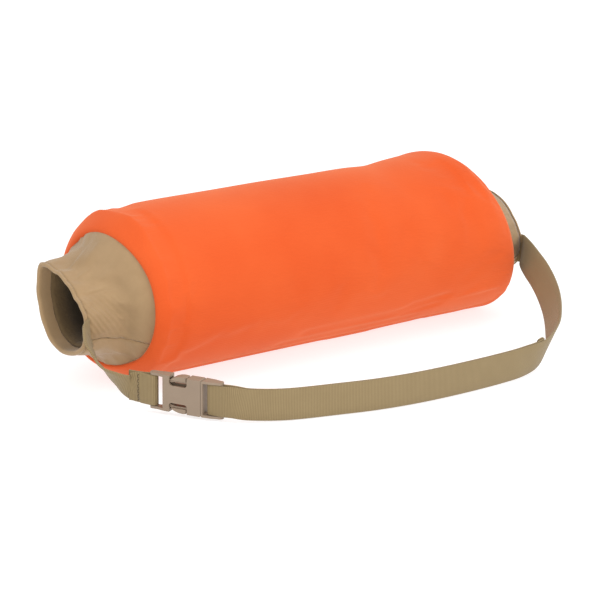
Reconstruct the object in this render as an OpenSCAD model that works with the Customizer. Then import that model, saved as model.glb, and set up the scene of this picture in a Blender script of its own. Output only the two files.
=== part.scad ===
// Hand-warmer muff with a slip-on cover and a waist belt.
// The muff lies along X on a flat surface at z = 0, belt and buckle on the -Y side.
// Layers from the outside in: cover, shell, insulation, lining.

/* [Muff] */
// Length of the padded barrel between its two end seams
barrel_l = 396; // [280:2:480]
// Outer radius of the shell along the barrel
barrel_r = 70; // [58:1:90]
// Radius of the rolled shoulder at each end of the barrel
shoulder_r = 12; // [8:1:16]
// Depth that the cover is flattened where the muff rests
rest_flat = 1; // [0.6:0.1:1.2]
// Radius of the hand tunnel, outside its lining
tunnel_r = 52; // [45:1:54]

/* [Cuffs] */
// Outer radius of each hand cuff
cuff_r = 37.5; // [34:0.5:40]
// Length from the barrel's end seam to the cuff's rim
cuff_l = 46; // [38:1:60]
// Length of the tapered stretch between barrel and cuff
cone_l = 28; // [20:1:34]
// Depth of the turned-in facing at each rim
facing_w = 22; // [12:1:26]
// Height of the seam between the upper and lower shell panels
seam_h = 48; // [42:1:56]

/* [Layers] */
// Knit cover thickness
cover_t = 1.8; // [1:0.1:2.4]
// Shell fabric thickness
shell_t = 1.2; // [0.8:0.1:1.6]
// Lining fleece thickness
lining_t = 1.5; // [1:0.1:2]
// Ease between neighbouring layers
layer_gap = 0.2; // [0.1:0.05:0.4]

/* [Webbing] */
// Belt webbing width
web_w = 25.4; // [20:0.2:32]
// Belt webbing thickness
web_t = 1.6; // [1.2:0.1:2]
// Clearance between webbing and the plastic it threads
web_gap = 0.3; // [0.2:0.05:0.5]

/* [Buckle] */
// Length of the socket half
socket_l = 46.5; // [42:0.5:56]
// Length of the plug's base behind the mouth
base_l = 17.8; // [16:0.2:24]
// Thickness at the socket's mouth
buckle_t = 10; // [9.4:0.2:12]
// Thickness at both webbing ends
end_t = 6.4; // [6:0.2:8]
// Thickness of the side rails beside the webbing
rail_w = 2; // [1.6:0.1:3]
// Radius of the bars that the webbing turns round
bar_r = 1.6; // [1.4:0.1:2]
// Wall of the socket's front and back plates
plate_t = 2; // [1.6:0.1:2.2]
// Length of each thumb window in the socket's sides
window_l = 16; // [14:0.5:18]
// Clearance between the sliding and turning plastic pieces
run_gap = 0.3; // [0.2:0.05:0.4]

/* [Hidden] */
$fn = 96;
big = 1000;

// Barrel and cuff stations along X, the same on both sides
neck_x = barrel_l / 2;
rim_x = neck_x + cuff_l;
cuff_x = neck_x + cone_l;
neck_r = barrel_r - shoulder_r;
cover_d = -(layer_gap + cover_t);
axis_h = barrel_r - cover_d - rest_flat;
lip_a = 8;
wadding_end = neck_x + cone_l / 4;
tunnel_blend = 46;
lining_r = cuff_r - shell_t - layer_gap;

// Buckle: u runs from the socket's bar to the plug's end, v across it, w out of its face
buckle_yaw = -66;
buckle_drop = 2;
buckle_lean = 3;
buckle_mid = [-219.3, -125.2, 18];
slot_v = web_w / 2 + web_gap;
buckle_v = slot_v + rail_w;
bar_turn = bar_r + web_gap + web_t / 2;
socket_bar_u = 3;
plate_u = 12.6;
window_u = plate_u + 5.9;
window_end = window_u + window_l;
window_v = slot_v - 5.8;
cavity_u = plate_u + 2.4;
cavity_w = buckle_t / 2 - plate_t;
base_u = socket_l + run_gap;
plug_end = base_u + base_l;
shoulder_l = 1.6;
lock_bar_u = base_u + shoulder_l + 5.6;
end_bar_u = plug_end - 3.4;
end_bar_l = 3 - bar_r;
tongue_v = 3;
arm_t = 2.2;
arm_v = slot_v - 0.8;
root_r = arm_t / 2;
root_u = base_u - run_gap - root_r;
tip_u = cavity_u + 1.4;
latch_u = window_end - 0.7;
pad_u = window_u + 1;
pad_v = arm_v - 0.7;
pad_w = buckle_t / 2 - 1;

// Belt routes: x, y, z of the middle, then how far its top edge leans outwards. They were
// laid for a rim at 244, an axis 71 high, a cuff of 37.5 and webbing 25.4 wide.
short_route = [[-247, -34.5, 54, 4], [-253, -41, 51.5, 20], [-256, -50, 43, 42],
               [-253, -60, 32, 63], [-246, -70, 24, 48], [-240, -79, 18.5, 22]];
long_route = [[-192, -172, 14.5, 2], [-166, -187, 13.5, 0], [-126, -201, 13.5, 0],
              [-92, -211, 13.5, 0], [-54, -217, 13.5, 0], [-10, -219, 13.5, 0],
              [35, -218, 13.5, 2], [66, -215, 13.8, 6], [94, -207, 15, 18],
              [127, -186, 19.5, 26], [151, -164, 25, 31], [172, -141, 31, 33],
              [188, -119, 38, 33], [201, -97, 45, 31], [211, -77, 50.5, 28],
              [221, -60, 53.5, 22], [230, -47, 54.5, 13], [238.5, -38.8, 54.5, 4]];
// Number of long_route points, from the plug on, that the belt's free end lies behind
tail_n = 9;
tail_gap = 0.5;
ply = (web_t + tail_gap) / 2;
steps = 3;
rim_moved = rim_x - 244;
axis_moved = axis_h - 71;
cuff_grown = cuff_r - 37.5;
web_raised = web_w / 2 - 12.7;

// Profiles are lists of [x, r]; d is how far a layer lies inside the shell's face
function blend(t) = (1 - cos(180 * t)) / 2;
function flip(path) = [for (i = [len(path) - 1:-1:0]) [-path[i][0], path[i][1]]];
function neck_taper(d) =
    [for (i = [0:8])
        let (t = i / 8,
             slope = (neck_r - cuff_r) / cone_l * sin(180 * t) * 90 * PI / 180,
             run = sqrt(1 + slope * slope))
        [-cuff_x + cone_l * t + d * slope / run,
         cuff_r + (neck_r - cuff_r) * blend(t) - d / run]];
function shoulder(d, from) =
    [for (i = [0:6])
        let (a = 180 - from - (90 - from) * i / 6)
        [-neck_x + shoulder_r + (shoulder_r - d) * cos(a),
         neck_r + (shoulder_r - d) * sin(a)]];
function shell_path(d) =
    let (side = concat([[-rim_x, cuff_r - d]], neck_taper(d), shoulder(d, 0)))
    concat(side, flip(side));
function cover_path(d) = concat(shoulder(d, lip_a), flip(shoulder(d, lip_a)));
function tunnel_path(d) =
    let (side = concat([[-rim_x, lining_r - d]],
             [for (i = [0:8]) [-cuff_x + tunnel_blend * i / 8,
                               lining_r + (tunnel_r - lining_r) * blend(i / 8) - d]]))
    concat(side, flip(side));

// A layer turned about the barrel's axis between two profiles
module layer(outer, inner) {
    translate([0, 0, axis_h]) rotate([0, 90, 0]) rotate(180) rotate_extrude()
        polygon([for (p = concat(outer, [for (i = [len(inner) - 1:-1:0]) inner[i]]))
            [p[1], p[0]]]);
}
// The cover is flattened at z = 0, where it rests
module cover_shell() {
    intersection() {
        layer(cover_path(cover_d), cover_path(cover_d + cover_t));
        slab(-big, big, 0);
    }
}
module shell() layer(shell_path(0), shell_path(shell_t));
module slab(x0, x1, z0 = -big, z1 = big) {
    translate([x0, -big, z0]) cube([x1 - x0, 2 * big, z1 - z0]);
}

module cover_body() {
    half = neck_x - shoulder_r;
    color("orangered") intersection() {
        cover_shell();
        slab(-half, half);
    }
}
module cover_hem_left() {
    color("darkorange") intersection() {
        cover_shell();
        slab(-big, -neck_x + shoulder_r);
    }
}
module cover_hem_right() {
    color("darkorange") intersection() {
        cover_shell();
        slab(neck_x - shoulder_r, big);
    }
}
module shell_upper_panel() {
    color("tan") intersection() {
        shell();
        slab(-big, big, seam_h, big);
    }
}
module shell_lower_panel() {
    color("burlywood") intersection() {
        shell();
        slab(-big, big, -big, seam_h);
    }
}
module insulation() {
    color("ivory") intersection() {
        layer(shell_path(shell_t + layer_gap), tunnel_path(-layer_gap));
        slab(-wadding_end, wadding_end);
    }
}
module lining() {
    color("saddlebrown") layer(tunnel_path(0), tunnel_path(lining_t));
}
module cuff_facing(side) {
    outer = lining_r - lining_t - layer_gap;
    inner = outer - shell_t;
    color("wheat") translate([0, 0, axis_h]) rotate([0, 90 * side, 0]) rotate_extrude()
        polygon([[inner, rim_x - facing_w], [outer, rim_x - facing_w], [outer, rim_x],
                 [cuff_r, rim_x], [cuff_r, rim_x + shell_t / 2],
                 [cuff_r - shell_t / 2, rim_x + shell_t],
                 [inner + shell_t / 2, rim_x + shell_t], [inner, rim_x + shell_t / 2]]);
}
module cuff_facing_left() cuff_facing(-1);
module cuff_facing_right() cuff_facing(1);

// The buckle stands on edge: u along X, v along Y and w along Z in its own frame
module at_buckle() {
    translate(buckle_at) rotate([0, 0, buckle_yaw]) rotate([0, buckle_drop, 0])
        rotate([buckle_lean + 90, 0, 0]) children();
}
function unit(a) = a / norm(a);
buckle_d = [cos(buckle_drop) * cos(buckle_yaw), cos(buckle_drop) * sin(buckle_yaw),
            -sin(buckle_drop)];
buckle_side = [sin(buckle_yaw), -cos(buckle_yaw), 0];
buckle_n = cos(buckle_lean) * buckle_side
    - sin(buckle_lean) * cross(buckle_side, buckle_d);
buckle_at = buckle_mid + [-rim_moved, 0, buckle_v - 15] - plug_end / 2 * buckle_d;
function in_buckle(u, w) = buckle_at + u * buckle_d + w * buckle_n;
// Moves a route with the cuff it is sewn to, the more the nearer it lies to the rim
function sewn(route, rim_z) =
    [for (p = route)
        let (near = min(1, max(0, (p[2] - 13.5) / (rim_z - 13.5))),
             side = rim_z == short_route[0][2] ? -1 : p[0] / 238.5)
        [p[0] + side * rim_moved, p[1] - near * cuff_grown,
         p[2] + web_raised + near * axis_moved, p[3]]];

// A belt station is [middle, along, across]; the route leans the across vector
function curve(a, b, c, d, t) =
    (2 * b + (c - a) * t + (2 * a - 5 * b + 4 * c - d) * t * t
     + (3 * b - a - 3 * c + d) * t * t * t) / 2;
function smooth(route) =
    let (n = len(route) - 1)
    [for (i = [0:n - 1], k = [0:steps - 1])
        curve(route[max(i - 1, 0)], route[i], route[i + 1], route[min(i + 2, n)], k / steps),
     route[n]];
function middle(p) = [p[0], p[1], p[2]];
function station(run, i) =
    let (n = len(run) - 1,
         along = unit(middle(run[min(i + 1, n)]) - middle(run[max(i - 1, 0)])),
         up = unit([0, 0, 1] - along[2] * along))
    [middle(run[i]), along, cos(run[i][3]) * up + sin(run[i][3]) * cross(along, up)];
function stations(run) = [for (i = [0:len(run) - 1]) station(run, i)];
function threaded(list) =
    [for (q = list) let (p = in_buckle(q[0], q[1])) [p[0], p[1], p[2], buckle_lean]];
function behind(s, gap) = [s[0] - gap * cross(s[1], s[2]), s[1], s[2]];
function turn_back(list) =
    [for (i = [len(list) - 1:-1:0]) [list[i][0], -list[i][1], list[i][2]]];
function bar_wrap(bar_u, way) =
    [for (a = [22.5:22.5:157.5])
        [in_buckle(bar_u + way * bar_turn * sin(a), way * bar_turn * cos(a)),
         way * (cos(a) * buckle_d - sin(a) * buckle_n), cross(buckle_n, buckle_d)]];

// One length of webbing, swept through its stations with square edges
module webbing(list) {
    last = 4 * (len(list) - 1);
    corners = [[1, 1], [-1, 1], [-1, -1], [1, -1]];
    points = [for (s = list, c = corners)
        s[0] + c[0] * web_w / 2 * s[2] + c[1] * web_t / 2 * cross(s[1], s[2])];
    sides = [for (i = [0:4:last - 4], k = [0:3])
        let (a = i + k, b = i + (k + 1) % 4) each [[a, a + 4, b], [b, a + 4, b + 4]]];
    ends = [[0, 1, 2], [0, 2, 3],
            [last, last + 2, last + 1], [last, last + 3, last + 2]];
    polyhedron(points, concat(sides, ends));
}
module strap_short() {
    front = stations(smooth(concat(sewn(short_route, 54),
        threaded([[-10, ply], [-2, bar_turn - 0.4], [socket_bar_u, bar_turn]]))));
    back = stations(smooth(threaded(
        [[-20, -ply], [-10, -ply], [-2, 0.4 - bar_turn], [socket_bar_u, -bar_turn]])));
    color("darkkhaki")
        webbing(concat(front, bar_wrap(socket_bar_u, 1), turn_back(back)));
}
module strap_long() {
    lead = threaded([[lock_bar_u, bar_turn], [end_bar_u, bar_turn],
                     [plug_end + 1, bar_turn], [plug_end + 9, ply]]);
    run = stations(smooth(concat(lead, sewn(long_route, 54.5))));
    clear_n = 2 * steps;
    tail = [for (i = [0:steps * (len(lead) + tail_n - 1)])
        let (t = blend(max(0, min(1, (i - clear_n) / (3 * steps)))))
        behind(run[i], 2 * bar_turn * (1 - t) + 2 * ply * t)];
    color("darkkhaki")
        webbing(concat(turn_back(tail), bar_wrap(lock_bar_u, -1), run));
}

// Buckle profiles: a plan in u and v, and a side view in u and w
module round_rect(x0, x1, half, r) {
    for (x = [x0 + r, x1 - r], y = [r - half, half - r]) translate([x, y]) circle(r);
    translate([x0 + r, -half]) square([x1 - x0 - 2 * r, 2 * half]);
    translate([x0, r - half]) square([x1 - x0, 2 * half - 2 * r]);
}
module across_v(half) {
    rotate([90, 0, 0]) linear_extrude(2 * half, center = true) children();
}
module web_bar(u) {
    translate([u, 0, 0]) rotate([90, 0, 0])
        cylinder(r = bar_r, h = 2 * slot_v + rail_w, center = true);
}
function side_rise(u0, u1, h0, h1) =
    [for (i = [0:6]) [u0 + (u1 - u0) * i / 6, h0 + (h1 - h0) * blend(i / 6)]];
module side_view(top) {
    last = len(top) - 1;
    polygon(concat(top, [for (i = [last:-1:0]) [top[i][0], -top[i][1]]]));
}
module socket_side() {
    nose = end_t / 2;
    translate([socket_bar_u, 0]) circle(nose);
    side_view(concat([[socket_bar_u, nose]],
        side_rise(socket_bar_u + nose, cavity_u, nose, buckle_t / 2 - 0.4),
        [[window_u + 4, buckle_t / 2], [socket_l, buckle_t / 2]]));
}
module socket_plan() {
    difference() {
        round_rect(-1, socket_l, buckle_v, 1.2);
        for (side = [-1, 1]) translate([0, side * (window_v + buckle_v)])
            round_rect(window_u, window_end, buckle_v, 2.4);
    }
}
module buckle_socket() {
    color("rosybrown") at_buckle() {
        difference() {
            intersection() {
                linear_extrude(2 * buckle_t, center = true) socket_plan();
                across_v(2 * buckle_v) socket_side();
            }
            translate([cavity_u, -slot_v, -cavity_w]) cube([socket_l, 2 * slot_v, 2 * cavity_w]);
            translate([plate_u / 2 - 2, 0, 0])
                cube([plate_u + 4, 2 * slot_v, 2 * buckle_t], center = true);
        }
        web_bar(socket_bar_u);
    }
}
module plug_side() {
    nose = end_t / 2;
    side_view(concat([[base_u, buckle_t / 2], [base_u + shoulder_l, buckle_t / 2]],
        side_rise(lock_bar_u, plug_end - nose, buckle_t / 2 - 0.4, nose)));
    translate([plug_end - nose, 0]) circle(nose);
}
module buckle_plug() {
    tongue_w = cavity_w - 4 * run_gap;
    color("rosybrown") at_buckle() {
        difference() {
            intersection() {
                linear_extrude(2 * buckle_t, center = true)
                    round_rect(base_u, plug_end + 0.8, buckle_v, 1.2);
                across_v(2 * buckle_v) plug_side();
            }
            translate([base_u + shoulder_l, -slot_v, -buckle_t])
                cube([base_l, 2 * slot_v, 2 * buckle_t]);
        }
        web_bar(lock_bar_u);
        across_v(slot_v + rail_w / 2) {
            for (u = [end_bar_u, end_bar_u + end_bar_l]) translate([u, 0]) circle(bar_r);
            translate([end_bar_u, -bar_r]) square([end_bar_l, 2 * bar_r]);
        }
        linear_extrude(2 * tongue_w, center = true) {
            translate([tip_u + tongue_v, 0]) circle(tongue_v);
            translate([tip_u + tongue_v, -tongue_v])
                square([base_u - tip_u - tongue_v + shoulder_l / 2, 2 * tongue_v]);
        }
    }
}
// One spring arm with its thumb pad; side is 1 for the upper arm and -1 for the lower
module arm_crown() {
    crown_r = 18;
    translate([latch_u - 4, buckle_v + 0.2 - crown_r]) circle(crown_r);
}
module arm(side) {
    inner_v = arm_v - arm_t;
    color("peru") at_buckle() mirror([0, side < 0 ? 1 : 0, 0]) {
        linear_extrude(2 * (cavity_w - run_gap), center = true) {
            translate([root_u, arm_v - root_r]) circle(root_r);
            translate([pad_u, inner_v]) square([root_u - pad_u, arm_t]);
            translate([tip_u + 1, inner_v - 0.4]) circle(1);
            polygon([[tip_u + 1, inner_v - 1.4], [pad_u + 3, inner_v], [pad_u, arm_v - 0.2],
                     [tip_u + 1, inner_v + 0.6]]);
            intersection() {
                arm_crown();
                translate([pad_u, inner_v]) square([latch_u - pad_u, buckle_v - inner_v + 1]);
            }
        }
        linear_extrude(2 * pad_w, center = true) intersection() {
            arm_crown();
            translate([pad_u + 1, pad_v])
                square([latch_u - pad_u - 1.8, buckle_v - pad_v + 1]);
        }
    }
}
module buckle_arm_upper() arm(1);
module buckle_arm_lower() arm(-1);

cover_body();
cover_hem_left();
cover_hem_right();
shell_upper_panel();
shell_lower_panel();
insulation();
lining();
cuff_facing_left();
cuff_facing_right();
strap_short();
strap_long();
buckle_socket();
buckle_plug();
buckle_arm_upper();
buckle_arm_lower();
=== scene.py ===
# A hand-warmer muff: a padded tube for both hands, with a slip-on knit cover, a hidden wadding,
# a fleece tunnel between two open cuffs, and a webbing belt with a side-release buckle.
import math

import bmesh
import bpy
from mathutils import Matrix, Vector, noise


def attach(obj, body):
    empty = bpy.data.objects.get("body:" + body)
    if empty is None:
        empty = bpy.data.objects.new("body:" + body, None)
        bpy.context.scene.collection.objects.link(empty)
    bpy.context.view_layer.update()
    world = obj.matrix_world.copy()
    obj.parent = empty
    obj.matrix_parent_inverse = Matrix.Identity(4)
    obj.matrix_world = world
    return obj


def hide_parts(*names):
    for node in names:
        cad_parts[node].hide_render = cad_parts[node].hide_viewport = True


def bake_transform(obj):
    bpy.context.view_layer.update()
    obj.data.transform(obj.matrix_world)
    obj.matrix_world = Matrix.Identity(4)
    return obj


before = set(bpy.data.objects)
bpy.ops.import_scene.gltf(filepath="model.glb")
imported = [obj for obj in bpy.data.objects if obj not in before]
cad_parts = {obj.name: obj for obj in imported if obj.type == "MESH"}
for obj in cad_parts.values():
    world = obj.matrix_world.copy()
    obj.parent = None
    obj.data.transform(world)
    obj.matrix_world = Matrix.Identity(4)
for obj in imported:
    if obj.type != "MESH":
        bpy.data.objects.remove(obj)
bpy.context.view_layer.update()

# ---- Camera and light ------------------------------------------------------------------
# A long lens looks along the muff from its left end, a little from above, as a catalogue
# picture is taken. Soft boxes stand left, right and overhead on a white sweep.
look_from = Vector((-0.6328, -0.7409, 0.2250))
across_view = Vector((0.7604, -0.6494, 0.0))
up_view = Vector((0.1461, 0.1711, 0.9744))
towards = (-look_from + across_view * 8 / 3010 - up_view * 38 / 3010).normalized()
level = towards.cross(Vector((0, 0, 1))).normalized()
catalogue_lens = bpy.data.cameras.new("catalogue_lens")
catalogue_lens.lens = 180.6
catalogue_lens.sensor_width = 36
catalogue_lens.clip_end = 20
camera = bpy.data.objects.new("catalogue_camera", catalogue_lens)
bpy.context.scene.collection.objects.link(camera)
camera.matrix_world = Matrix.Translation(
    Vector((-0.0035, 0, 0.071)) + look_from * 2.59) @ Matrix(
    (level, level.cross(towards), -towards)).transposed().to_4x4()
bpy.context.scene.camera = camera


def linear(hex_colour):
    """An sRGB hex colour such as "f46932" as linear RGBA."""
    parts = [int(hex_colour[i:i + 2], 16) / 255 for i in (0, 2, 4)]
    return [c / 12.92 if c <= 0.04045 else ((c + 0.055) / 1.055) ** 2.4 for c in parts] + [1]


def soft_box(name, place, target, size, watts):
    lamp = bpy.data.lights.new(name, "AREA")
    lamp.shape, lamp.size, lamp.energy = "DISK", size, watts
    box = bpy.data.objects.new(name, lamp)
    bpy.context.scene.collection.objects.link(box)
    box.matrix_world = Matrix.Translation(place) @ (
        Vector(target) - Vector(place)).to_track_quat("-Z", "Y").to_matrix().to_4x4()


soft_box("overhead_box", (-0.3, -0.2, 1.9), (0, 0, 0.05), 1.6, 9)
soft_box("left_box", (-1.3, -1.3, 0.45), (-0.15, 0, 0.05), 0.9, 7)
soft_box("front_box", (0.5, -1.9, 0.8), (0, 0, 0.07), 1.2, 11)
studio = bpy.data.worlds.new("studio_white")
studio.use_nodes = True
studio.node_tree.nodes["Background"].inputs["Color"].default_value = linear("ffffff")
studio.node_tree.nodes["Background"].inputs["Strength"].default_value = 1.0
bpy.context.scene.world = studio
bpy.context.scene.view_settings.view_transform = "Standard"

sweep_mesh = bmesh.new()
bmesh.ops.create_grid(sweep_mesh, x_segments=2, y_segments=2, size=6,
                      matrix=Matrix.Translation((0, 0, 0)))
sweep_data = bpy.data.meshes.new("sweep")
sweep_mesh.to_mesh(sweep_data)
sweep_mesh.free()
sweep = bpy.data.objects.new("sweep", sweep_data)
bpy.context.scene.collection.objects.link(sweep)
paper = bpy.data.materials.new("white_sweep_paper")
paper.use_nodes = True
paper.node_tree.nodes["Principled BSDF"].inputs["Base Color"].default_value = linear("a8a8a8")
paper.node_tree.nodes["Principled BSDF"].inputs["Roughness"].default_value = 0.9
paper.node_tree.nodes["Principled BSDF"].inputs["Emission Color"].default_value = linear("ffffff")
paper.node_tree.nodes["Principled BSDF"].inputs["Emission Strength"].default_value = 0.72
sweep_data.materials.append(paper)

# ---- Padded shell and cuffs ------------------------------------------------------------
# Brushed tan softshell, cut as an upper and a lower panel and sewn with a seam down each
# side; each end narrows to an open cuff whose rim is pulled by the belt sewn to it.
# Rings along the muff: x, centre y, centre z, half width, half height, all in mm.
shell_rings = [
    (-247.5, 0, 71, 34, 40), (-243, 0, 71, 35, 40.5), (-236, 0, 71, 36, 41),
    (-228.5, 0, 71, 37.5, 42), (-221, 0, 71, 41, 44.5), (-213.5, 0, 71, 46.5, 48.5),
    (-206, 0, 71, 53.5, 54.5), (-199, 0, 71, 60, 60.5), (-192, 0, 71, 65, 65),
    (-184, 0, 71, 67.5, 67.5), (-170, 0, 71, 66.5, 66.5), (-60, 0, 71, 66, 66),
    (60, 0, 71, 66, 66), (150, -0.5, 72, 67, 66.5), (178, -1, 72, 68, 67),
    (189, -2, 71, 66, 65), (196, -3, 70, 60, 59.5), (203, -3.5, 69.5, 53.5, 54),
    (210.5, -4, 69.5, 46.5, 48), (218, -4.5, 70, 40.5, 43.5), (226.5, -4.5, 70, 37, 41),
    (236.5, -4.5, 70, 34, 39)]
belt_end_left = Vector((-0.247, -0.035, 0.054))
seam_z = 0.048


def between(rings, step):
    """Stations along smooth curves through the given ones, about step apart in x."""
    stations = []
    for i in range(len(rings) - 1):
        a, b = rings[max(i - 1, 0)], rings[i]
        c, d = rings[i + 1], rings[min(i + 2, len(rings) - 1)]
        parts = max(1, round(math.dist(b[:3], c[:3]) / step))
        for k in range(parts):
            t = k / parts
            stations.append([(2 * q + (r - p) * t + (2 * p - 5 * q + 4 * r - s) * t * t
                              + (3 * q - p - 3 * r + s) * t ** 3) / 2
                             for p, q, r, s in zip(a, b, c, d)])
    return stations + [list(rings[-1])]


def sewn_tube(rings, step, around):
    """A tube of cloth: one hoop, extruded from station to station."""
    tube = bmesh.new()
    round_m = tube.verts.layers.float.new("round_m")
    along_m = tube.verts.layers.float.new("along_m")
    bmesh.ops.create_circle(tube, segments=around, radius=1,
                            matrix=Matrix.Rotation(math.pi / 2, 4, "Y"))
    hoop, edges, last, run = list(tube.verts), list(tube.edges), Matrix(), 0.0
    for i, v in enumerate(hoop):
        v[round_m] = (math.atan2(v.co.y, -v.co.z) / math.tau) % 1
    before = None
    for x, y, z, half_y, half_z in between(rings, step):
        place = Matrix.Translation((x / 1000, y / 1000, z / 1000)) @ Matrix.Diagonal(
            (1, half_y / 1000, half_z / 1000, 1))
        if before is not None:
            made = bmesh.ops.extrude_edge_only(tube, edges=edges)["geom"]
            hoop = [g for g in made if isinstance(g, bmesh.types.BMVert)]
            edges = [g for g in made if isinstance(g, bmesh.types.BMEdge)
                     and all(v in hoop for v in g.verts)]
            run += math.dist((x, half_y), before) / 1000
        bmesh.ops.transform(tube, matrix=place @ last.inverted(), verts=hoop)
        for v in hoop:
            v[along_m] = run
        last, before = place, (x, half_y)
    lie = tube.loops.layers.uv.new("lie")
    for face in tube.faces:
        turns = [loop.vert[round_m] for loop in face.loops]
        for loop, turn in zip(face.loops, turns):
            turn += 1 if max(turns) - turn > 0.5 else 0
            loop[lie].uv = (turn * 0.44, loop.vert[along_m])
    bmesh.ops.recalc_face_normals(tube, faces=tube.faces)
    return tube


def piece(name, shape, *materials):
    mesh = bpy.data.meshes.new(name)
    shape.to_mesh(mesh)
    shape.free()
    for m in materials:
        mesh.materials.append(m)
    for polygon in mesh.polygons:
        polygon.use_smooth = True
    made = bpy.data.objects.new(name, mesh)
    bpy.context.scene.collection.objects.link(made)
    return made


def wall(thing, thickness, offset=-1):
    solid = thing.modifiers.new("cloth_thickness", "SOLIDIFY")
    solid.thickness, solid.offset, solid.use_even_offset = thickness, offset, False


def smoother(thing, levels=1):
    finish = thing.modifiers.new("soft_finish", "SUBSURF")
    finish.levels = finish.render_levels = levels


def filled(thing, held, pressure, growth, cap, frames=20):
    """Lets the padding fill the cloth, then keeps what it did, up to cap metres."""
    pins = thing.vertex_groups.new(name="held_by_seams")
    for v in thing.data.vertices:
        pins.add([v.index], held(v.co), "REPLACE")
    cloth = thing.modifiers.new("padding", "CLOTH")
    cloth.settings.quality = 6
    cloth.settings.mass = 0.3
    cloth.settings.tension_stiffness = cloth.settings.compression_stiffness = 12
    cloth.settings.shear_stiffness = 4
    cloth.settings.bending_stiffness = 0.35
    cloth.settings.use_pressure = True
    cloth.settings.uniform_pressure_force = pressure
    cloth.settings.shrink_min = -growth
    cloth.settings.vertex_group_mass = "held_by_seams"
    cloth.settings.effector_weights.gravity = 0
    cloth.collision_settings.use_collision = False
    cloth.point_cache.frame_start, cloth.point_cache.frame_end = 1, frames
    scene = bpy.context.scene
    for f in range(1, frames + 1):
        scene.frame_set(f)
    moved = thing.evaluated_get(bpy.context.evaluated_depsgraph_get()).data
    places = [v.co.copy() for v in moved.vertices]
    thing.modifiers.remove(cloth)
    scene.frame_set(1)
    for v, place in zip(thing.data.vertices, places):
        step = place - v.co
        if step.length > cap:
            step *= cap / step.length
        v.co += step
    thing.data.update()


def add(tree, kind, links=None, sockets=None, **settings):
    """Adds a node with its settings, its socket values and its incoming links."""
    made = tree.nodes.new("ShaderNode" + kind)
    for key, value in settings.items():
        setattr(made, key, value)
    for key, value in (sockets or {}).items():
        made.inputs[key].default_value = value
    for key, (source, out) in (links or {}).items():
        tree.links.new(source.outputs[out], made.inputs[key])
    return made


def softshell(name, base_hex, light_hex):
    """Woven polyester softshell, brushed: matt, with a fine diagonal weave and pressed folds."""
    made = bpy.data.materials.new(name)
    made.use_nodes = True
    tree = made.node_tree
    surface = tree.nodes["Principled BSDF"]
    surface.inputs["Roughness"].default_value = 0.86
    surface.inputs["Sheen Weight"].default_value = 0.25
    surface.inputs["Sheen Roughness"].default_value = 0.5
    surface.inputs["Specular IOR Level"].default_value = 0.25
    spot = add(tree, "TexCoord")
    lie = add(tree, "UVMap", uv_map="lie")
    # threads 0.9 mm apart, drawn coarser than the real 0.4 mm so that they show
    turned = add(tree, "Mapping", {"Vector": (lie, "UV")},
                 {"Rotation": (0, 0, math.radians(38)), "Scale": (1100, 1100, 1)})
    weave = add(tree, "TexWave", {"Vector": (turned, "Vector")},
                {"Scale": 0.5, "Distortion": 0.6, "Detail": 1.0}, wave_type="BANDS")
    mottle = add(tree, "TexNoise", {"Vector": (spot, "Object")},
                 {"Scale": 38.0, "Detail": 4.0, "Roughness": 0.6})
    tone = add(tree, "ValToRGB", {"Fac": (mottle, "Fac")})
    tone.color_ramp.elements[0].position, tone.color_ramp.elements[1].position = 0.3, 0.72
    tone.color_ramp.elements[0].color = linear(base_hex)
    tone.color_ramp.elements[1].color = linear(light_hex)
    tree.links.new(tone.outputs["Color"], surface.inputs["Base Color"])
    fine = add(tree, "Bump", {"Height": (weave, "Fac")},
               {"Strength": 0.16, "Distance": 0.0004})
    soft = add(tree, "TexNoise", {"Vector": (spot, "Object")},
               {"Scale": 24.0, "Detail": 2.0, "Roughness": 0.5})
    folds = add(tree, "Bump", {"Height": (soft, "Fac"), "Normal": (fine, "Normal")},
                {"Strength": 0.25, "Distance": 0.004})
    # short diagonal puckers, 4 mm apart, where the belt is sewn into the left rim
    away = add(tree, "VectorMath", {0: (spot, "Object")}, operation="DISTANCE")
    away.inputs[1].default_value = belt_end_left + Vector((0.012, 0, 0.010))
    near = add(tree, "MapRange", {"Value": (away, "Value")},
               {"From Min": 0.006, "From Max": 0.026, "To Min": 1.0, "To Max": 0.0})
    slanted = add(tree, "Mapping", {"Vector": (spot, "Object")},
                  {"Rotation": (0, math.radians(35), 0)})
    pucker = add(tree, "TexWave", {"Vector": (slanted, "Vector")},
                 {"Scale": 78.0, "Distortion": 1.5, "Detail": 1.0, "Detail Scale": 0.3},
                 wave_type="BANDS", bands_direction="X")
    drawn_in = add(tree, "Math", {0: (pucker, "Fac"), 1: (near, "Result")},
                   operation="MULTIPLY")
    puckers = add(tree, "Bump", {"Height": (drawn_in, "Value"), "Normal": (folds, "Normal")},
                  {"Strength": 0.5, "Distance": 0.0012})
    tree.links.new(puckers.outputs["Normal"], surface.inputs["Normal"])
    return made


tan_softshell = softshell("brushed_tan_softshell", "957a58", "a18562")


# The left mouth's outline, drawn long and narrow by the belt: degrees round from the far
# side over the top, and mm from the cuff's axis. The right mouth is drawn rather less.
mouth = [(-170, 34), (-152, 38), (-132, 42), (-95, 39.5), (-68, 36.5), (-40, 32.5), (-10, 31.5),
         (22, 36), (46, 42.5), (74, 29), (108, 22.5), (150, 22), (168, 27), (190, 34)]


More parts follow.
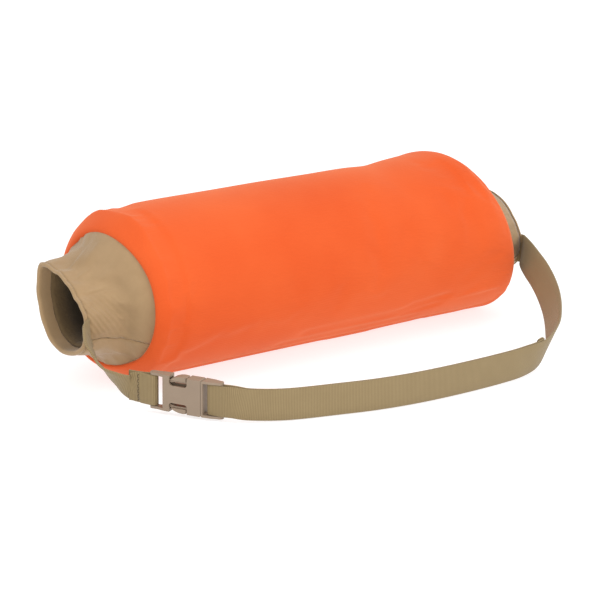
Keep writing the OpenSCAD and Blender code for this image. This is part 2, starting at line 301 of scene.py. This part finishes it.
def pulled(point):
    """Where a cuff hangs: its ring draws into the mouth's outline towards the rim."""
    start, most, middle_y, middle_z = (0.204, 1, 0, 0.071) if point.x < 0 else (
        0.195, 0.4, -0.0045, 0.070)
    t = min(1, max(0, (abs(point.x) - start) / 0.037))
    t = t * t * (3 - 2 * t) * most
    y, z = point.y - middle_y, point.z - middle_z
    turn = math.degrees(math.atan2(z, y))
    turn += 360 if turn < -170 else 0
    for (low, near), (high, far) in zip(mouth, mouth[1:]):
        if low <= turn <= high:
            part = (turn - low) / (high - low)
            part = part * 0.5 + part * part * (3 - 2 * part) * 0.5
            drawn = near + (far - near) * part
    ring = 1 / math.hypot(math.cos(math.radians(turn)) / 34.5, math.sin(math.radians(turn)) / 40.3)
    grow = 1 + t * (drawn / ring - 1)
    return Vector((point.x, middle_y + y * grow, middle_z + z * grow))


def leaned(point):
    """The right end of the padding slumps: its top leans back and its foot slides out."""
    t = min(1, max(0, (point.x - 0.14) / 0.06))
    return point - Vector((0.017 * (point.z - 0.055) / 0.085 * t * t * (3 - 2 * t), 0, 0))


shell_shape = sewn_tube(shell_rings, 4.0, 144)
for v in shell_shape.verts:
    v.co = pulled(v.co)
shell = piece("shell", shell_shape, tan_softshell)
filled(shell, lambda p: 1.0 if p.x < -0.243 or p.x > 0.2325 or abs(p.x) < 0.19 else 0.0,
       pressure=2.0, growth=0.03, cap=0.004)
for v in shell.data.vertices:
    v.co = leaned(v.co)

for name, upper in (("shell_upper", True), ("shell_lower", False)):
    half = bmesh.new()
    half.from_mesh(shell.data)
    for height in (seam_z - 0.0016, seam_z + 0.0016):
        bmesh.ops.bisect_plane(half, geom=half.verts[:] + half.edges[:] + half.faces[:],
                               plane_co=(0, 0, height), plane_no=(0, 0, 1))
    bmesh.ops.bisect_plane(half, geom=half.verts[:] + half.edges[:] + half.faces[:],
                           plane_co=(0, 0, seam_z), plane_no=(0, 0, 1),
                           clear_inner=upper, clear_outer=not upper)
    # the seam is drawn in and sinks towards the barrel
    for v in half.verts:
        if abs(v.co.z - seam_z) < 1e-5:
            v.co -= Vector((0, v.co.y, v.co.z - 0.071)).normalized() * 0.0012
        sink = min(1, max(0, (0.232 - abs(v.co.x)) / 0.04)) * 0.15
        turn = sink * math.exp(-((v.co.z - seam_z) / 0.03) ** 2)
        v.co = (Matrix.Translation((0, 0, 0.071)) @ Matrix.Rotation(
            -math.copysign(turn, v.co.y), 4, "X") @ Matrix.Translation((0, 0, -0.071))) @ v.co
    made = piece(name, half, tan_softshell)
    wall(made, 0.0012)
    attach(made, "muff")
bpy.data.objects.remove(shell)
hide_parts("shell_upper_panel")
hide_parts("shell_lower_panel")

# ---- Cuff facings ----------------------------------------------------------------------
# A strip of the same softshell turned over each rim and stitched down inside the cuff.
# Rings start at the rim and run into the tunnel.
facing_rings = {
    "left": [(-247.2, 0, 71, 34.2, 40.2), (-248.6, 0, 71, 33.6, 39.6),
             (-248.9, 0, 71, 32.6, 38.6), (-248, 0, 71, 31.9, 37.9),
             (-244, 0, 71, 31.6, 37.8), (-236, 0, 71, 31.4, 37.0),
             (-228, 0, 71, 31.2, 35.6), (-221.5, 0, 71, 31.2, 34.6)],
    "right": [(236.2, -4.5, 70, 34.2, 39.2), (237.6, -4.5, 70, 33.6, 38.6),
              (237.9, -4.5, 70, 32.6, 37.6), (237, -4.5, 70, 31.9, 36.9),
              (233, -4.4, 70, 31.6, 36.6), (226, -4, 70, 31.4, 36),
              (217, -3, 70, 31.2, 35), (210.5, -2, 70, 31.2, 34.6)]}
for side, rings in facing_rings.items():
    turned_in = sewn_tube(rings, 2.0, 120)
    for v in turned_in.verts:
        v.co = leaned(pulled(v.co))
    bmesh.ops.reverse_faces(turned_in, faces=turned_in.faces)
    facing = piece("cuff_facing_" + side + "_cloth", turned_in, tan_softshell)
    wall(facing, 0.0009)
    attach(facing, "muff")
    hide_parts("cuff_facing_" + side)

# ---- Lining ----------------------------------------------------------------------------
# Dark brown fleece, sewn as one wide tube, where both hands meet.
fleece = bpy.data.materials.new("brown_polyester_fleece")
fleece.use_nodes = True
fleece_tree = fleece.node_tree
fleece_surface = fleece_tree.nodes["Principled BSDF"]
fleece_surface.inputs["Roughness"].default_value = 0.95
fleece_surface.inputs["Sheen Weight"].default_value = 0.12
fleece_spot = add(fleece_tree, "TexCoord")
# tufts about 2.5 mm across
tufts = add(fleece_tree, "TexNoise", {"Vector": (fleece_spot, "Object")},
            {"Scale": 400.0, "Detail": 5.0, "Roughness": 0.7})
fleece_tone = add(fleece_tree, "ValToRGB", {"Fac": (tufts, "Fac")})
fleece_tone.color_ramp.elements[0].color = linear("4a3922")
fleece_tone.color_ramp.elements[1].color = linear("6a5535")
fleece_tree.links.new(fleece_tone.outputs["Color"], fleece_surface.inputs["Base Color"])
fleece_bump = add(fleece_tree, "Bump", {"Height": (tufts, "Fac")},
                  {"Strength": 0.6, "Distance": 0.0012})
fleece_tree.links.new(fleece_bump.outputs["Normal"], fleece_surface.inputs["Normal"])
# At the left cuff the fleece starts 11 mm in from the rim, rolled over inside the facing, so its
# dark brown shows early where the cuff's inside lies in shade: the real lining, partly standing in
# as painted shade there.
tunnel = sewn_tube([(-236, 0, 71, 30.4, 35.6), (-237, 0, 71, 29.4, 34.6),
                    (-235, 0, 71, 28.8, 34), (-222.5, 0, 71, 29.2, 33.4),
                    (-214, 0, 71, 34, 37), (-205, 0, 71, 38, 40),
                    (-192, 0, 71, 45, 46), (-178, 0, 71, 50, 50), (-150, 0, 71, 51, 51),
                    (0, 0, 71, 51, 51), (150, 0, 71, 51, 51), (176, -1, 71, 50, 50),
                    (190, -1, 70.5, 45, 46), (203, -2, 70, 38, 40),
                    (211.5, -2, 70, 32.2, 36)], 6.0, 96)
for v in tunnel.verts:
    v.co = leaned(pulled(v.co))
bmesh.ops.reverse_faces(tunnel, faces=tunnel.faces)
lining = piece("tunnel_lining", tunnel, fleece)
wall(lining, 0.0015)
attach(lining, "muff")
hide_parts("lining")

# ---- Wadding ---------------------------------------------------------------------------
# White polyester wadding, wrapped between the lining and the shell; nothing of it shows.
wool = bpy.data.materials.new("polyester_wadding")
wool.use_nodes = True
wool_surface = wool.node_tree.nodes["Principled BSDF"]
wool_surface.inputs["Roughness"].default_value = 0.95
wool_spot = add(wool.node_tree, "TexCoord")
fibres = add(wool.node_tree, "TexNoise", {"Vector": (wool_spot, "Object")},
             {"Scale": 260.0, "Detail": 6.0, "Roughness": 0.8})
wool_tone = add(wool.node_tree, "ValToRGB", {"Fac": (fibres, "Fac")})
wool_tone.color_ramp.elements[0].color = linear("d9d6cd")
wool_tone.color_ramp.elements[1].color = linear("f4f2ec")
wool.node_tree.links.new(wool_tone.outputs["Color"], wool_surface.inputs["Base Color"])
batt = sewn_tube([(-196, 0, 71, 54, 54), (-196, 0, 71, 58, 58), (-188, 0, 71, 62, 62),
                  (-176, 0, 71, 64.5, 64.5), (-60, 0, 71, 64, 64), (60, 0, 71, 64, 64),
                  (150, 0, 71.5, 64.5, 64.5), (174, -1, 71, 64.5, 64.5), (186, -2, 70.5, 61, 61),
                  (192, -2, 70.5, 57, 57), (192, -2, 70.5, 53.5, 53.5),
                  (176, -1, 71, 53, 53), (0, 0, 71, 53.5, 53.5), (-178, 0, 71, 53, 53),
                  (-196, 0, 71, 54, 54)], 8.0, 72)
bmesh.ops.remove_doubles(batt, verts=batt.verts, dist=1e-5)
for v in batt.verts:
    v.co = leaned(v.co)
bmesh.ops.recalc_face_normals(batt, faces=batt.faces)
wadding = piece("wadding", batt, wool)
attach(wadding, "muff")
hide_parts("insulation")

# ---- Slip-on cover ---------------------------------------------------------------------
# Blaze-orange stretch knit with a brushed face, pulled over the barrel; its ends are folded
# under and hug the shoulders of the padding. It bulges where the wadding has shifted right.
cover_rings = [
    (-196, -1, 69, 58.5, 54.5), (-199.5, -2, 68.5, 59.5, 55), (-202.3, -2, 68.5, 61.5, 57.5),
    (-202.5, -1, 69, 64.5, 62), (-199.5, 0, 70, 68.5, 68), (-193.5, 0, 71, 71, 70.7),
    (-178.5, 0, 71.5, 72, 71.5), (-103.5, 0, 71.5, 72, 71.5), (-3.5, 0, 71, 71.5, 71),
    (56.5, 0, 71, 71.5, 71), (96.5, 0, 71, 72, 71), (136.5, 0, 72, 74, 72),
    (160, 0, 73, 75.5, 73), (177, -1, 73, 74.5, 72.5), (188.5, -2, 71, 71.5, 70),
    (196, -3, 68.5, 67.5, 67), (200, -3.5, 68, 64.5, 64), (199.5, -3.5, 68, 61.5, 61),
    (195, -3.5, 68, 61, 60.5)]


def knit(name, deep_hex, pale_hex):
    """Brushed polyester jersey: matt and furry at the edges, faint courses along the muff."""
    made = bpy.data.materials.new(name)
    made.use_nodes = True
    tree = made.node_tree
    surface = tree.nodes["Principled BSDF"]
    surface.inputs["Roughness"].default_value = 0.9
    surface.inputs["Sheen Weight"].default_value = 0.35
    surface.inputs["Sheen Roughness"].default_value = 0.45
    surface.inputs["Sheen Tint"].default_value = linear("ffb58a")
    surface.inputs["Specular IOR Level"].default_value = 0.2
    lie = add(tree, "UVMap", uv_map="lie")
    spot = add(tree, "TexCoord")
    # knit courses 2.4 mm apart round the barrel, drawn coarser than the real 0.8 mm
    rows = add(tree, "Mapping", {"Vector": (lie, "UV")}, {"Scale": (410, 60, 1)})
    courses = add(tree, "TexWave", {"Vector": (rows, "Vector")},
                  {"Scale": 0.32, "Distortion": 2.2, "Detail": 2.0, "Detail Scale": 1.4},
                  wave_type="BANDS", bands_direction="X")
    fuzz = add(tree, "TexNoise", {"Vector": (spot, "Object")},
               {"Scale": 700.0, "Detail": 4.0, "Roughness": 0.7})
    wear = add(tree, "TexNoise", {"Vector": (spot, "Object")},
               {"Scale": 9.0, "Detail": 3.0, "Roughness": 0.55})
    tone = add(tree, "ValToRGB", {"Fac": (wear, "Fac")})
    tone.color_ramp.elements[0].position, tone.color_ramp.elements[1].position = 0.3, 0.75
    tone.color_ramp.elements[0].color = linear(deep_hex)
    tone.color_ramp.elements[1].color = linear(pale_hex)
    tree.links.new(tone.outputs["Color"], surface.inputs["Base Color"])
    lines = add(tree, "Bump", {"Height": (courses, "Fac")},
                {"Strength": 0.12, "Distance": 0.0005})
    nap = add(tree, "Bump", {"Height": (fuzz, "Fac"), "Normal": (lines, "Normal")},
              {"Strength": 0.22, "Distance": 0.0005})
    tree.links.new(nap.outputs["Normal"], surface.inputs["Normal"])
    return made


orange_knit = knit("brushed_orange_jersey", "cd4e1d", "d55a28")
cover_shape = sewn_tube(cover_rings, 5.0, 168)
# Soft pulls in the knit: a long one low on the front, short ones towards the ends and the
# dip before the bulge, each from here to there, so deep and so wide in metres.
pulls = [((-0.031, -0.050, 0.021), (0.075, -0.051, 0.022), 0.0026, 0.004),
         ((0.075, -0.051, 0.022), (0.090, -0.055, 0.027), 0.0028, 0.0035),
         ((0.090, -0.055, 0.027), (0.125, -0.059, 0.032), 0.0024, 0.004),
         ((0.082, -0.048, 0.018), (0.120, -0.053, 0.024), 0.0018, 0.0035),
         ((-0.05, -0.040, 0.012), (0.10, -0.040, 0.013), 0.0012, 0.005),
         ((0.085, -0.030, 0.135), (0.100, 0.035, 0.133), 0.0016, 0.016),
         ((0.140, -0.068, 0.050), (0.190, -0.066, 0.075), 0.0010, 0.006),
         ((0.150, 0.060, 0.035), (0.060, 0.064, 0.045), 0.0014, 0.007),
         ((-0.160, 0.066, 0.060), (-0.090, 0.071, 0.070), 0.0012, 0.007),
         ((-0.185, -0.060, 0.100), (-0.150, -0.064, 0.098), 0.0007, 0.006)]
for v in cover_shape.verts:
    # the left hem reaches further down the taper at its top and bottom
    reach = min(1, max(0, (-0.191 - v.co.x) / 0.010))
    hem = min(1, max(0, (0.0655 - math.hypot(v.co.y, v.co.z - 0.069)) / 0.006))
    v.co.x -= 0.0075 * reach * hem * ((v.co.z - 0.069) / 0.06) ** 2
    # the left end lifts off the table
    v.co.z += 0.007 * max(0, (0.03 - v.co.z) / 0.03) * min(1, max(0, (-0.183 - v.co.x) / 0.018))
    v.co += noise.noise_vector(v.co * 11) * 0.0009
    if v.co.z < 0.0022:
        v.co.z = 0.0006 + max(0.0, v.co.z - 0.0006) * 0.5
cover = piece("knit_cover", cover_shape, orange_knit)
filled(cover, lambda p: 1.0 if abs(p.x) > 0.196 or p.z < 0.004 else 0.0,
       pressure=1.0, growth=0.012, cap=0.0016)
for v in cover.data.vertices:
    inwards = Vector((0, -v.co.y, 0.071 - v.co.z)).normalized()
    for start, end, depth, width in pulls:
        start, end = Vector(start), Vector(end)
        t = (v.co - start).dot(end - start) / (end - start).length_squared
        gone = (v.co - start.lerp(end, min(1, max(0, t)))).length
        v.co += inwards * depth * math.exp(-(gone / width) ** 2)
    spread = math.hypot(v.co.y, v.co.z - 0.071)
    if abs(v.co.x) < 0.186 and spread < 0.0687:
        v.co.y *= 0.0687 / spread
        v.co.z = 0.071 + (v.co.z - 0.071) * 0.0687 / spread
    v.co = leaned(v.co)
    v.co.z = max(v.co.z, 0.0005)
wall(cover, 0.0016)
smoother(cover)
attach(cover, "muff")
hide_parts("cover_body", "cover_hem_left", "cover_hem_right")

# ---- Webbing belt ----------------------------------------------------------------------
# Flat 25 mm polypropylene webbing, ribbed across. The short strap runs from the left cuff
# round the socket's bar and is stitched to itself; the long one is threaded through the plug.
web_width, web_thick = 0.0254, 0.0016
tail_gap, bar_turn = 0.0005, 0.0027
ply = (web_thick + tail_gap) / 2
buckle_at = Vector((-0.2324, -0.0957, 0.0191))
buckle_turn = (Matrix.Rotation(math.radians(-66), 3, "Z") @ Matrix.Rotation(math.radians(2), 3, "Y")
               @ Matrix.Rotation(math.radians(93), 3, "X"))
slide_way, face_way = buckle_turn @ Vector((1, 0, 0)), buckle_turn @ Vector((0, 0, 1))
edge_way = buckle_turn @ Vector((0, 1, 0))
short_route = [(-242, -31, 55, 2), (-247, -34.5, 54, 4), (-253, -41, 51.5, 20),
               (-256, -50, 43, 42), (-253, -60, 32, 63), (-246, -70, 24, 48),
               (-240, -79, 18.5, 22)]
long_route = [(-192, -172, 14.5, 2), (-166, -187, 13.5, 0), (-126, -201, 13.5, 0),
              (-92, -211, 13.5, 0), (-54, -217, 13.5, 0), (-10, -219, 13.5, 0),
              (35, -218, 13.5, 2), (66, -215, 13.8, 6), (94, -207, 15, 18),
              (127, -186, 19.5, 26), (151, -164, 25, 31), (172, -141, 31, 33),
              (188, -119, 38, 33), (201, -97, 45, 31), (211, -77, 50.5, 28),
              (221, -60, 53.5, 22), (230, -47, 54.5, 13), (236, -38.8, 54.5, 4),
              (233, -31, 54.5, 2)]


def threaded(pairs):
    """Belt points in the buckle: mm along it and mm out of its face."""
    return [(*(buckle_at + (slide_way * u + face_way * w) / 1000) * 1000, 3)
            for u, w in pairs]


def laid(route, parts):
    """Stations [middle, along, across] on a smooth curve through the route's points."""
    points = []
    for i in range(len(route) - 1):
        a, b, c, d = (route[max(i - 1, 0)], route[i], route[i + 1],
                      route[min(i + 2, len(route) - 1)])
        for k in range(parts):
            t = k / parts
            points.append([(2 * q + (r - p) * t + (2 * p - 5 * q + 4 * r - s) * t * t
                            + (3 * q - p - 3 * r + s) * t ** 3) / 2
                           for p, q, r, s in zip(a, b, c, d)])
    points.append(list(route[-1]))
    stations = []
    for i, p in enumerate(points):
        before, after = points[max(i - 1, 0)], points[min(i + 1, len(points) - 1)]
        along = (Vector(after[:3]) - Vector(before[:3])).normalized()
        up = (Vector((0, 0, 1)) - along * along.z).normalized()
        lean = math.radians(p[3])
        stations.append((Vector(p[:3]) / 1000, along,
                         up * math.cos(lean) + along.cross(up) * math.sin(lean)))
    return stations


def behind(station, gap):
    return (station[0] - station[1].cross(station[2]) * gap, station[1], station[2])


def turned_back(stations):
    return [(middle, -along, across) for middle, along, across in reversed(stations)]


def round_bar(bar_u, way):
    return [(buckle_at + slide_way * (bar_u / 1000 + way * bar_turn * math.sin(a))
             + face_way * way * bar_turn * math.cos(a),
             (slide_way * math.cos(a) - face_way * math.sin(a)) * way, edge_way)
            for a in (math.pi * k / 12 for k in range(1, 12))]


def webbing(name, stations, material):
    """One band, its rounded selvedges extruded from station to station."""
    band = bmesh.new()
    along_m = band.verts.layers.float.new("along_m")
    across_m = band.verts.layers.float.new("across_m")
    half, thin = web_width / 2, web_thick / 2
    outline = [(half - 0.0005, thin), (0.006, thin), (-0.006, thin), (0.0005 - half, thin),
               (-half, thin * 0.4), (-half, -thin * 0.4), (0.0005 - half, -thin),
               (-0.006, -thin), (0.006, -thin), (half - 0.0005, -thin),
               (half, -thin * 0.4), (half, thin * 0.4)]
    rim = [band.verts.new((0, y, z)) for y, z in outline]
    for v, (y, z) in zip(rim, outline):
        v[across_m] = y
    edges = [band.edges.new((rim[i], rim[(i + 1) % len(rim)])) for i in range(len(rim))]
    first_edges, last, run, before = edges, Matrix(), 0.0, None
    for middle, along, across in stations:
        place = Matrix.Translation(middle) @ Matrix(
            (along, across, along.cross(across))).transposed().to_4x4()
        if before is not None:
            made = bmesh.ops.extrude_edge_only(band, edges=edges)["geom"]
            rim = [g for g in made if isinstance(g, bmesh.types.BMVert)]
            edges = [g for g in made if isinstance(g, bmesh.types.BMEdge)
                     and all(v in rim for v in g.verts)]
            run += (middle - before).length
        bmesh.ops.transform(band, matrix=place @ last.inverted(), verts=rim)
        for v in rim:
            v[along_m] = run
        last, before = place, middle
    for loop in (first_edges, edges):
        bmesh.ops.edgeloop_fill(band, edges=loop)
    bmesh.ops.recalc_face_normals(band, faces=band.faces)
    lie = band.loops.layers.uv.new("lie")
    for face in band.faces:
        for loop in face.loops:
            loop[lie].uv = (loop.vert[across_m], loop.vert[along_m])
    made = piece(name, band, material)
    return made, run


ribbed = bpy.data.materials.new("ribbed_polypropylene_webbing")
ribbed.use_nodes = True
web_tree = ribbed.node_tree
web_surface = web_tree.nodes["Principled BSDF"]
web_surface.inputs["Roughness"].default_value = 0.7
web_surface.inputs["Specular IOR Level"].default_value = 0.35
web_surface.inputs["Sheen Weight"].default_value = 0.1
web_lie = add(web_tree, "UVMap", uv_map="lie")
# ribs 1.3 mm apart across the band, with the warp's fine lines along it
rib_place = add(web_tree, "Mapping", {"Vector": (web_lie, "UV")}, {"Scale": (30, 760, 1)})
ribs = add(web_tree, "TexWave", {"Vector": (rib_place, "Vector")},
           {"Scale": 0.32, "Distortion": 0.25, "Detail": 1.0}, wave_type="BANDS",
           bands_direction="Y")
warp_place = add(web_tree, "Mapping", {"Vector": (web_lie, "UV")}, {"Scale": (900, 20, 1)})
warp = add(web_tree, "TexWave", {"Vector": (warp_place, "Vector")},
           {"Scale": 0.32, "Distortion": 0.4}, wave_type="BANDS", bands_direction="X")
web_spot = add(web_tree, "TexCoord")
shade = add(web_tree, "TexNoise", {"Vector": (web_spot, "Object")},
            {"Scale": 60.0, "Detail": 4.0})
web_tone = add(web_tree, "ValToRGB", {"Fac": (shade, "Fac")})
web_tone.color_ramp.elements[0].color = linear("84704d")
web_tone.color_ramp.elements[1].color = linear("93805b")
# the grooves between the ribs get the darker colour 7a6746, following the rib bump's height:
# painted shade in the grooves
rib_groove_shade = add(web_tree, "Mix", {"B": (web_tone, "Color"), "Factor": (ribs, "Fac")},
               data_type="RGBA", blend_type="MIX")
rib_groove_shade.inputs["A"].default_value = linear("7a6746")
web_tree.links.new(rib_groove_shade.outputs["Result"], web_surface.inputs["Base Color"])
rib_bump = add(web_tree, "Bump", {"Height": (ribs, "Fac")},
               {"Strength": 0.35, "Distance": 0.0003})
warp_bump = add(web_tree, "Bump", {"Height": (warp, "Fac"), "Normal": (rib_bump, "Normal")},
                {"Strength": 0.2, "Distance": 0.0002})
web_tree.links.new(warp_bump.outputs["Normal"], web_surface.inputs["Normal"])

front = laid(short_route + threaded([(-10, 1.05), (-2, 2.3), (3, 2.7)]), 6)
back = laid(threaded([(-20, -1.05), (-10, -1.05), (-2, -2.3), (3, -2.7)]), 5)
strap_short, short_length = webbing(
    "strap_short_webbing", front + round_bar(3, 1) + turned_back(back), ribbed)
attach(strap_short, "muff")
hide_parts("strap_short")

lead = threaded([(54.0, 2.7), (61.2, 2.7), (65.6, 2.7), (73.6, 1.05)])
run = laid(lead + long_route, 6)
tail = []
for i in range(6 * (len(lead) + 8) + 1):
    t = min(1, max(0, (i - 12) / 18))
    t = (1 - math.cos(math.pi * t)) / 2
    tail.append(behind(run[i], 2 * bar_turn * (1 - t) + 2 * ply * t))
# the free end is turned back on itself and stitched, so that it can't slip out
fold = [behind(station, 0.0021) for station in tail[-2:]]
end_mid, end_along, end_across = tail[-1]
end_out = end_along.cross(end_across)
curl = [(end_mid - end_out * 0.00105 * (1 + math.cos(a)) + end_along * 0.00105 * math.sin(a),
         end_along * math.cos(a) + end_out * math.sin(a), end_across)
        for a in (math.pi * k / 6 for k in range(1, 6))]
strap_long, long_length = webbing(
    "strap_long_webbing", fold + curl + turned_back(tail) + round_bar(54.0, -1) + run, ribbed)
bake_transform(strap_long)
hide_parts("strap_long")

# ---- Stitching on the belt -------------------------------------------------------------
# Brown bonded thread: a row across the short strap behind the socket's bar, and one across
# the turned end of the long strap.
thread = bpy.data.materials.new("brown_bonded_thread")
thread.use_nodes = True
thread_surface = thread.node_tree.nodes["Principled BSDF"]
thread_surface.inputs["Base Color"].default_value = linear("4a3a24")
thread_surface.inputs["Roughness"].default_value = 0.55


def stitch_row(name, middle, row_way, out_way, width, pitch, slant):
    """Short rounded stitches in a zigzag across a flat face."""
    row = bmesh.new()
    count = int(width / pitch)
    for k in range(count + 1):
        spot = middle + row_way * (k - count / 2) * pitch
        lie_way = (row_way + row_way.cross(out_way) * slant * (-1) ** k).normalized()
        across = out_way.cross(lie_way).normalized()
        turn = Matrix((lie_way, across, lie_way.cross(across))).transposed().to_4x4()
        bmesh.ops.create_icosphere(
            row, subdivisions=2, radius=1,
            matrix=Matrix.Translation(spot) @ turn @ Matrix.Diagonal((0.0011, 0.0004, 0.0003, 1)))
    made = piece(name, row, thread)
    return made


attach(stitch_row("strap_bartack", buckle_at - slide_way * 0.0105 + face_way * 0.0019,
                   edge_way, face_way, 0.0225, 0.0021, 0.9), "muff")
end_spot, end_way, end_edge = tail[-2]
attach(stitch_row("tail_stitching", end_spot - end_way.cross(end_edge) * 0.0030, end_edge,
                   -end_way.cross(end_edge), 0.0215, 0.0021, 0.0), "muff")

# ---- Side-release buckle ---------------------------------------------------------------
# Injection-moulded acetal in tan: matt, with a fine spark-eroded grain. The plug's two
# spring arms latch in the socket's side windows and are squeezed to let it slide out.
acetal = bpy.data.materials.new("moulded_tan_acetal")
acetal.use_nodes = True
acetal_tree = acetal.node_tree
acetal_surface = acetal_tree.nodes["Principled BSDF"]
acetal_surface.inputs["Roughness"].default_value = 0.48
acetal_surface.inputs["IOR"].default_value = 1.48
acetal_spot = add(acetal_tree, "TexCoord")
grain = add(acetal_tree, "TexNoise", {"Vector": (acetal_spot, "Object")},
            {"Scale": 1400.0, "Detail": 3.0})
cloud = add(acetal_tree, "TexNoise", {"Vector": (acetal_spot, "Object")},
            {"Scale": 70.0, "Detail": 3.0})
acetal_tone = add(acetal_tree, "ValToRGB", {"Fac": (cloud, "Fac")})
acetal_tone.color_ramp.elements[0].color = linear("857260")
acetal_tone.color_ramp.elements[1].color = linear("907d69")
acetal_tree.links.new(acetal_tone.outputs["Color"], acetal_surface.inputs["Base Color"])
acetal_bump = add(acetal_tree, "Bump", {"Height": (grain, "Fac")},
                  {"Strength": 0.15, "Distance": 0.0002})
acetal_tree.links.new(acetal_bump.outputs["Normal"], acetal_surface.inputs["Normal"])
for name in ("buckle_socket", "buckle_plug", "buckle_arm_upper", "buckle_arm_lower"):
    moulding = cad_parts[name]
    for s in moulding.material_slots:
        s.material = acetal
    if not moulding.material_slots:
        moulding.data.materials.append(acetal)
